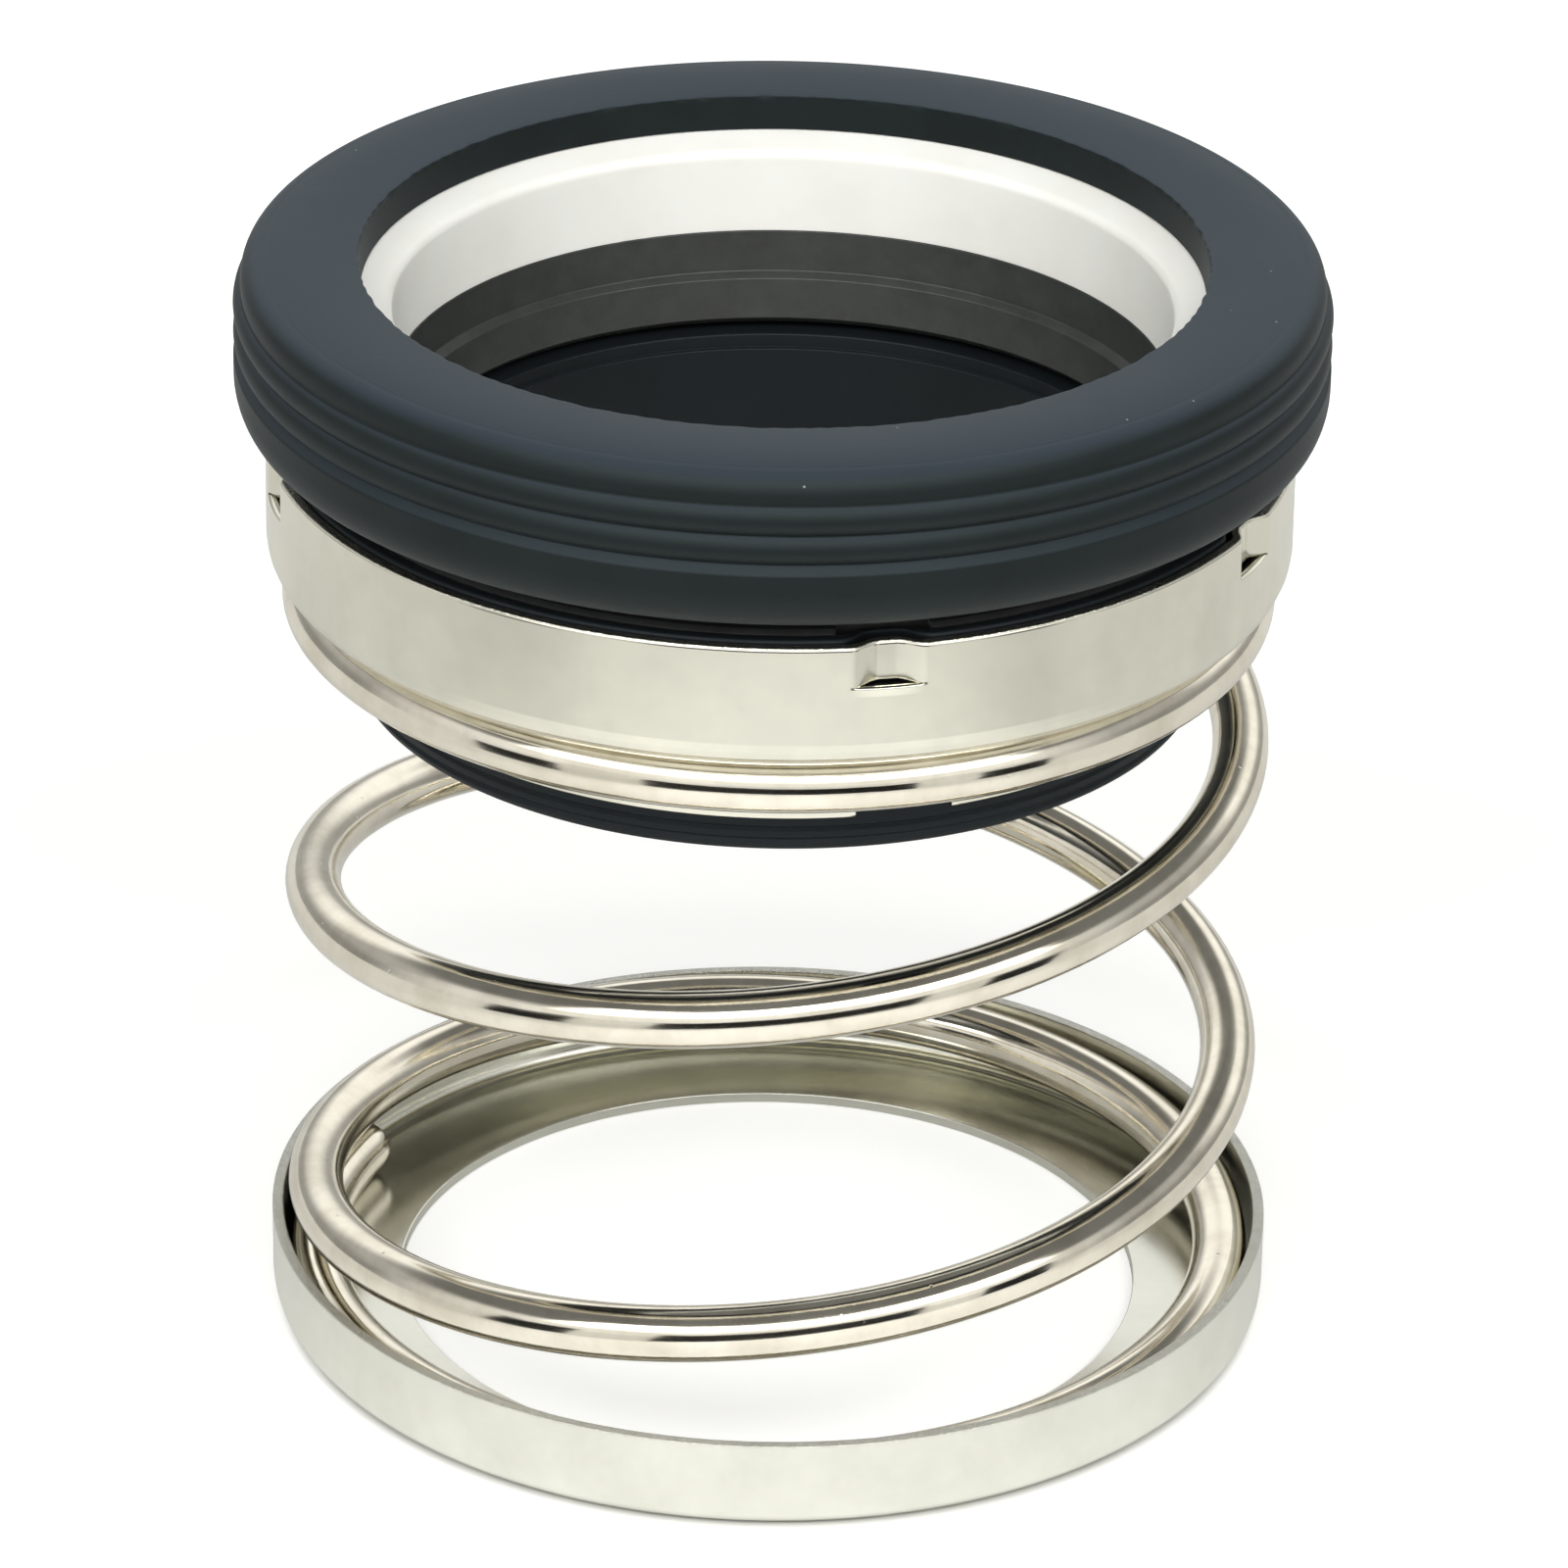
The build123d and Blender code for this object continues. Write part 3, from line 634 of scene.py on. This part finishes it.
def makeBellows(sizes=bellowsSizes):
    bore, tail, foot, lipTop, arch, inner, outerLeg, head, lip = (sizes[k] for k in (
        "bore", "tail", "foot", "lipTop", "archFoot", "inner", "outerLeg", "head", "lip"))
    foldFoot, slotFoot, ringSeat, boreTop = (sizes[k] for k in ("foldFoot", "slotFoot", "ringSeat", "boreTop"))
    fold = inner + sizes["foldWall"]
    upperFlare, lowerFlare = sizes["boreFlare"]
    corners = [(bore, foot, 0.5), (tail, foot, 0.6)]
    for z in sizes["grooves"]:
        d = sizes["grooveDepth"]
        corners += [(tail, z - d, 0.05), (tail - d, z, 0.08), (tail, z + d, 0.05)]
    archTop = ((tail + inner) / 2, arch + sizes["archRise"])
    corners += [(tail, arch, 0)] + arcPoints((tail, arch), archTop, (inner, arch), 8)[1:]
    corners += [(inner, arch, 0), (inner, foldFoot, 1.0), (head, foldFoot, 1.4), (head, lipTop, 0.3),
                (lip, lipTop, 0.3), (lip, ringSeat, 0.05), (outerLeg, ringSeat, 0.2), (outerLeg, slotFoot, 0.44),
                (fold, slotFoot, 0.44), (fold, boreTop, 1.55), (bore + upperFlare, boreTop, 0.15),
                (bore + lowerFlare, sizes["boreStep"], 0.06), (bore, sizes["boreEdge"], 0.12)]
    section = roundedSection(corners, steps=6)

    def shape(radius, z, turn):
        # the lip is squeezed thin behind each dent
        still = sizes["pinchRadius"]
        for dent in stack["dentTurns"]:
            across = np.abs(angleFrom(turn, dent)) * head
            squeezed = stepUp(z, *sizes["pinchHeights"]) * (1 - stepUp(across, *sizes["pinchReach"]))
            radius = np.where(radius > still, radius - (radius - still) * sizes["pinch"] * squeezed, radius)
        return radius, z

    points, faces = lathe(section, shape=shape)
    return makePiece("rubberBellows", points, faces, "head", "bellows", bellowsMaterial)


makeBellows()

# carbon primary ring

ringSizes = {"bore": 26.0, "counterbore": 26.6, "nose": 31.0, "body": 33.45, "rear": 63.4, "shoulder": 67.2,
             "face": 70.34, "stepTop": 67.3, "stepFoot": 66.9, "boreChamfer": 0.5, "edgeChamfer": 0.3,
             "notchFloor": 32.5, "notchHalfWidth": 3.2}


def makePrimaryRing(sizes=ringSizes):
    bore, wide, nose, body, rear, shoulder, face = (
        sizes[k] for k in ("bore", "counterbore", "nose", "body", "rear", "shoulder", "face"))
    cut, inset = sizes["edgeChamfer"], sizes["boreChamfer"]
    section = roundedSection([
        (bore + inset, rear, 0.05), (body - cut, rear, 0.05), (body, rear + cut, 0.05), (body, shoulder - cut, 0.05),
        (body - cut, shoulder, 0.05), (nose, shoulder, 0.15), (nose, face, 0.06), (wide, face, 0.06),
        (wide, sizes["stepTop"], 0.12), (bore, sizes["stepFoot"], 0.12), (bore, rear + inset, 0.05)], steps=4)
    halfNotch = sizes["notchHalfWidth"] / body
    turns = turnsWithCuts(stack["dentTurns"], halfNotch)

    def shape(radius, z, turn):
        for dent in stack["dentTurns"]:
            inside = np.abs(angleFrom(turn, dent)) < halfNotch
            radius = np.where(inside, np.minimum(radius, sizes["notchFloor"]), radius)
        return radius, z

    points, faces = lathe(section, turns=turns, shape=shape)
    return makePiece("carbonRing", points, faces, "head", "primary_ring", carbonMaterial)


makePrimaryRing()

# ceramic seat ring

seatSizes = {"bore": 26.65, "outside": 33.5, "face": 70.36, "back": 77.2, "chamferWidth": 2.15,
             "chamferHeight": 0.9, "edgeChamfer": 0.4}


def makeSeatRing(sizes=seatSizes):
    bore, outside, face, back = (sizes[k] for k in ("bore", "outside", "face", "back"))
    cut = sizes["edgeChamfer"]
    section = roundedSection([
        (bore, face, 0.05), (outside - cut, face, 0.05), (outside, face + cut, 0.05), (outside, back - cut, 0.05),
        (outside - cut, back, 0.05), (bore + sizes["chamferWidth"], back, 0.6),
        (bore, back - sizes["chamferHeight"], 0.8)], steps=6)
    points, faces = lathe(section)
    return makePiece("ceramicSeat", points, faces, "seat", "seat_ring", aluminaMaterial)


makeSeatRing()

# rubber seat cup

cupSizes = {
    "radius": 37.5, "crown": 80.0, "inside": 33.55, "bore": 28.8, "foot": 68.7, "footInset": 2.1,
    "groove": 36.9, "firstGroove": 77.625, "ribPitch": 2.05, "ribs": 2, "bandTop": 72.925, "bandFoot": 71.575,
    "pocketTop": 77.25, "topRib": (36.95, 1.5),    # radius, and mm below the crown
    "raggedEdge": 0.07, "columns": 660,
}


def makeSeatCup(sizes=cupSizes):
    big, crown, bore, foot, groove = (sizes[k] for k in ("radius", "crown", "bore", "foot", "groove"))
    corners = [(big - sizes["footInset"], foot, 0.2), (sizes["inside"], foot, 0.2),
               (sizes["inside"], sizes["pocketTop"], 0.05), (bore, sizes["pocketTop"], 0.05),
               (bore + 0.15, crown - 0.75, 0), (bore + 0.18, crown - 0.55, 0),
               (bore + 0.2, crown - 0.3, 0.1)]
    # domed top, from the bore over the crown to the shoulder
    corners += [(r, crown - 0.3 * ((33.0 - r) / 4.0) ** 2, 0) for r in np.linspace(29.4, 33.0, 8)]
    corners += [(r, crown - 0.25 * ((r - 33.0) / 2.4) ** 2, 0) for r in np.linspace(33.5, 35.3, 5)]
    ribRadius, ribDrop = sizes["topRib"]
    corners += arcPoints((35.4, crown - 0.27), (ribRadius, crown - ribDrop), (groove, sizes["firstGroove"]), 16)
    z = sizes["firstGroove"]
    for _ in range(sizes["ribs"]):
        corners += arcPoints((groove, z), (big - 0.01, z - sizes["ribPitch"] / 2), (groove, z - sizes["ribPitch"]), 14)
        z -= sizes["ribPitch"]
    corners += [(groove, z, 0), (big, sizes["bandTop"], 0.3), (big, sizes["bandFoot"], 0)]
    # the foot turns in under the band on a quarter of an oval
    height, depth = sizes["bandFoot"] - foot, sizes["footInset"]
    for k in range(1, 12):
        turn = math.pi / 2 * k / 12
        corners.append((big - depth * (1 - math.cos(turn)), sizes["bandFoot"] - height * math.sin(turn), 0))
    section = roundedSection(corners, steps=5)

    def shape(r, z, turn):
        # the trimmed inner edge is slightly ragged
        near = (1 - stepUp(np.abs(r - bore - 0.2), 0.1, 0.4)) * stepUp(z, crown - 0.5, crown - 0.35)
        ragged = np.sin(41 * turn + 2 * np.sin(17 * turn)) * np.sin(67 * turn + 3 * np.sin(5 * turn))
        return r + sizes["raggedEdge"] * near * ragged, z

    points, faces = lathe(section, np.linspace(0, fullTurn, sizes["columns"], endpoint=False), shape)
    return makePiece("rubberSeatCup", points, faces, "seat", "seat_cup", cupMaterial)


makeSeatCup()

# floor, light and camera

studio = {
    "floor": "#dcdcda",
    "seenGlow": 0.47,          # lifts the floor to white for the eye, but not under the holder
    "holderInside": (26.4, 27.0), "holderOutside": (34.5, 35.3),      # mm, where the glow goes out and comes back
    "glossGlow": (0.56, 0.05), # the same for reflections, bright in front of the part and dimmer round it
    "glowCentre": (0, -110), "glowReach": (35, 135),      # mm
    "window": (1.15, 6.5),     # radiance of the large soft light in front, low down and from its middle up
    "windowRise": (0.46, 0.60),                    # sines of the heights between the two
    "windowHeights": (0.21, 0.26, 0.74, 0.80),     # sines of the heights where it starts and ends
    "windowWidth": (0.38, 0.60),                   # cosines of its side edges, seen from above
    "tentTurn": (-0.2, -0.98, 0),                  # the tent's front, a little to the left
    "clothLow": ((0.0, "#b5b5b5"), (0.12, "#b0b0b0"), (0.27, "#a0a0a0"), (0.45, "#9c9c9c"), (0.62, "#e7e7e7"),
                 (1.0, "#fcfcfc")),                # from the back round to the front, near the floor
    "clothHigh": ((0.0, "#ffffff"), (0.12, "#fafafa"), (0.24, "#acacac"), (0.45, "#a8a8a8"), (0.62, "#d8d8d8"),
                  (1.0, "#ececec")),               # the same higher up, where it is also a little stronger
    "highGain": 1.3,
    "clothRise": (0.12, 0.38), # sines of the heights between the two
    "tentTop": 0.2, "tentDims": (0.50, 0.66),      # it dims between these sines of height
    "tentColour": "#f4f4f1",
    "cardDistance": 205, "cardHeight": 73,         # mm, black cards that draw the dark lines on metal
    "cardTurns": ((-63.6, -44.7), (-26.5, 28.5), (42, 57.3)),     # degrees from the front
}


def makeStudio(look=studio):
    floorMaterial, tree = newMaterial("paleFloor")
    place = addNode(tree, "ShaderNodeTexCoord").outputs["Object"]
    path = addNode(tree, "ShaderNodeLightPath")
    away = addNode(tree, "ShaderNodeVectorMath", {"operation": "LENGTH"}, {0: place}).outputs["Value"]
    inside = addNode(tree, "ShaderNodeMapRange", None,
                     {"Value": away, "From Min": look["holderInside"][0] * mm,
                      "From Max": look["holderInside"][1] * mm, "To Min": 1.0, "To Max": 0.0})
    outside = addNode(tree, "ShaderNodeMapRange", None,
                      {"Value": away, "From Min": look["holderOutside"][0] * mm,
                       "From Max": look["holderOutside"][1] * mm})
    uncovered = addNode(tree, "ShaderNodeMath", {"operation": "ADD"},
                        {0: inside.outputs["Result"], 1: outside.outputs["Result"]})
    seen = addNode(tree, "ShaderNodeMath", {"operation": "MULTIPLY"},
                   {0: uncovered.outputs[0], 1: path.outputs["Is Camera Ray"]})
    seen = addNode(tree, "ShaderNodeMath", {"operation": "MULTIPLY"}, {0: seen.outputs[0], 1: look["seenGlow"]})
    distance = addNode(tree, "ShaderNodeVectorMath", {"operation": "DISTANCE"},
                       {0: place, 1: Vector((*look["glowCentre"], 0)) * mm}).outputs["Value"]
    near = addNode(tree, "ShaderNodeMapRange", {"interpolation_type": "SMOOTHSTEP"},
                   {"Value": distance, "From Min": look["glowReach"][0] * mm, "From Max": look["glowReach"][1] * mm,
                    "To Min": look["glossGlow"][0], "To Max": look["glossGlow"][1]})
    gloss = addNode(tree, "ShaderNodeMath", {"operation": "MULTIPLY"},
                    {0: near.outputs["Result"], 1: path.outputs["Is Glossy Ray"]})
    gloss = addNode(tree, "ShaderNodeMath", {"operation": "MULTIPLY"},
                    {0: gloss.outputs[0], 1: outside.outputs["Result"]})
    glow = addNode(tree, "ShaderNodeMath", {"operation": "ADD"}, {0: seen.outputs[0], 1: gloss.outputs[0]})
    shader = addNode(tree, "ShaderNodeBsdfPrincipled", None,
                     {"Base Color": linearColour(look["floor"]), "Roughness": 0.9,
                      "Emission Color": (1, 1, 1, 1), "Emission Strength": glow.outputs[0]})
    addNode(tree, "ShaderNodeOutputMaterial", None, {"Surface": shader.outputs["BSDF"]})
    cardMaterial, tree = newMaterial("blackCard")
    shader = addNode(tree, "ShaderNodeBsdfPrincipled", None, {"Base Color": linearColour("#0c0c0c"), "Roughness": 0.9})
    addNode(tree, "ShaderNodeOutputMaterial", None, {"Surface": shader.outputs["BSDF"]})
    low = -0.02 * mm
    cardPoints, cardFaces = [], []
    for start, end in look["cardTurns"]:
        for k in range(5):
            turn = math.radians(start + (end - start) * k / 4)
            x, y = look["cardDistance"] * math.sin(turn) * mm, -look["cardDistance"] * math.cos(turn) * mm
            cardPoints += [(x, y, 0), (x, y, look["cardHeight"] * mm)]
            if k:
                n = len(cardPoints)
                cardFaces.append((n - 4, n - 2, n - 1, n - 3))
    for name, material, points, faces in (
            ("floor", floorMaterial, [(-1.5, -1.5, low), (1.5, -1.5, low), (1.5, 1.5, low), (-1.5, 1.5, low)],
             [(0, 1, 2, 3)]),
            ("blackCards", cardMaterial, cardPoints, cardFaces)):
        mesh = bpy.data.meshes.new(name)
        mesh.from_pydata(points, [], faces)
        mesh.materials.append(material)
        piece = bpy.data.objects.new(name, mesh)
        bpy.context.scene.collection.objects.link(piece)
        if name == "blackCards":
            piece.visible_camera = piece.visible_diffuse = piece.visible_shadow = False

    # a light tent: bright behind and in front, dimmer at the sides and on top, with a wide window in front
    world = bpy.data.worlds.new("lightTent")
    bpy.context.scene.world = world
    world.use_nodes = True
    tree = world.node_tree
    tree.nodes.clear()
    place = addNode(tree, "ShaderNodeTexCoord").outputs["Generated"]
    parts = addNode(tree, "ShaderNodeSeparateXYZ", None, {"Vector": place})
    flat = addNode(tree, "ShaderNodeVectorMath", {"operation": "MULTIPLY"}, {0: place, 1: (1, 1, 0)})
    flat = addNode(tree, "ShaderNodeVectorMath", {"operation": "NORMALIZE"}, {0: flat.outputs[0]})
    front = addNode(tree, "ShaderNodeVectorMath", {"operation": "DOT_PRODUCT"},
                    {0: flat.outputs[0], 1: look["tentTurn"]})
    front = addNode(tree, "ShaderNodeMapRange", None,
                    {"Value": front.outputs["Value"], "From Min": -1.0, "From Max": 1.0})
    clothLow, clothHigh = (addNode(tree, "ShaderNodeValToRGB", None, {"Fac": front.outputs["Result"]}, look[name])
                           for name in ("clothLow", "clothHigh"))
    rise = addNode(tree, "ShaderNodeMapRange", {"interpolation_type": "SMOOTHSTEP"},
                   {"Value": parts.outputs["Z"], "From Min": look["clothRise"][0], "From Max": look["clothRise"][1]})
    stronger = addNode(tree, "ShaderNodeVectorMath", {"operation": "SCALE"},
                       {0: clothHigh.outputs["Color"], "Scale": look["highGain"]})
    cloth = addNode(tree, "ShaderNodeMix", {"data_type": "RGBA"},
                    {0: rise.outputs["Result"], 6: clothLow.outputs["Color"], 7: stronger.outputs["Vector"]})
    fabric = addNode(tree, "ShaderNodeMapRange", {"interpolation_type": "SMOOTHSTEP"},
                     {"Value": parts.outputs["Z"], "From Min": look["tentDims"][0], "From Max": look["tentDims"][1],
                      "To Min": cloth.outputs[2], "To Max": look["tentTop"]}).outputs["Result"]
    facing = addNode(tree, "ShaderNodeVectorMath", {"operation": "DOT_PRODUCT"}, {0: flat.outputs[0], 1: (0, -1, 0)})
    window = None
    foot, footEnd, top, topEnd = look["windowHeights"]
    side, sideEnd = look["windowWidth"]
    for value, start, end, rising in ((facing.outputs["Value"], side, sideEnd, True),
                                      (parts.outputs["Z"], foot, footEnd, True),
                                      (parts.outputs["Z"], top, topEnd, False)):
        edge = addNode(tree, "ShaderNodeMapRange", {"interpolation_type": "SMOOTHSTEP"},
                       {"Value": value, "From Min": start, "From Max": end,
                        "To Min": 0.0 if rising else 1.0, "To Max": 1.0 if rising else 0.0}).outputs["Result"]
        window = edge if window is None else addNode(
            tree, "ShaderNodeMath", {"operation": "MULTIPLY"}, {0: window, 1: edge}).outputs[0]
    bright = addNode(tree, "ShaderNodeMapRange", {"interpolation_type": "SMOOTHSTEP"},
                     {"Value": parts.outputs["Z"], "From Min": look["windowRise"][0], "From Max": look["windowRise"][1],
                      "To Min": look["window"][0], "To Max": look["window"][1]})
    strength = addNode(tree, "ShaderNodeMapRange", None,
                       {"Value": window, "To Min": fabric, "To Max": bright.outputs["Result"]})
    tent = addNode(tree, "ShaderNodeBackground", None,
                   {"Color": linearColour(look["tentColour"]), "Strength": strength.outputs["Result"]})
    seen = addNode(tree, "ShaderNodeBackground", None, {"Color": (1, 1, 1, 1), "Strength": 1.0})
    path = addNode(tree, "ShaderNodeLightPath")
    mix = addNode(tree, "ShaderNodeMixShader", None,
                  {"Fac": path.outputs["Is Camera Ray"], 1: tent.outputs[0], 2: seen.outputs[0]})
    addNode(tree, "ShaderNodeOutputWorld", None, {"Surface": mix.outputs[0]})


makeStudio()

cameraSetting = {
    "distance": 0.6157, "target": 0.0363, "elevation": 26.55, "yaw": -0.043, "pitch": 0.243, "roll": -0.95,
    "lens": 201.3, "shiftX": 0.00137, "shiftY": 0.00275,
}


def makeCamera(setting=cameraSetting):
    elevation, yaw, pitch, roll = (math.radians(setting[k]) for k in ("elevation", "yaw", "pitch", "roll"))
    away = Vector((0, -math.cos(elevation), math.sin(elevation))) * setting["distance"]
    forward = -away.normalized()
    right = Vector((1, 0, 0))
    up = right.cross(forward)
    turnYaw = Quaternion(up, yaw)
    forward, right = turnYaw @ forward, turnYaw @ right
    turnPitch = Quaternion(right, pitch)
    forward, up = turnPitch @ forward, turnPitch @ up
    turnRoll = Quaternion(forward, roll)
    right, up = turnRoll @ right, turnRoll @ up
    matrix = Matrix((right, up, -forward)).transposed().to_4x4()
    matrix.translation = away + Vector((0, 0, setting["target"]))
    data = bpy.data.cameras.new("camera")
    data.lens = setting["lens"]
    data.sensor_width = 36
    data.shift_x, data.shift_y = setting["shiftX"], setting["shiftY"]
    data.clip_start, data.clip_end = 0.05, 20
    camera = bpy.data.objects.new("camera", data)
    camera.matrix_world = matrix
    bpy.context.scene.collection.objects.link(camera)
    bpy.context.scene.camera = camera


makeCamera()
bpy.context.scene.view_settings.view_transform = "Standard"
print("studio ready")
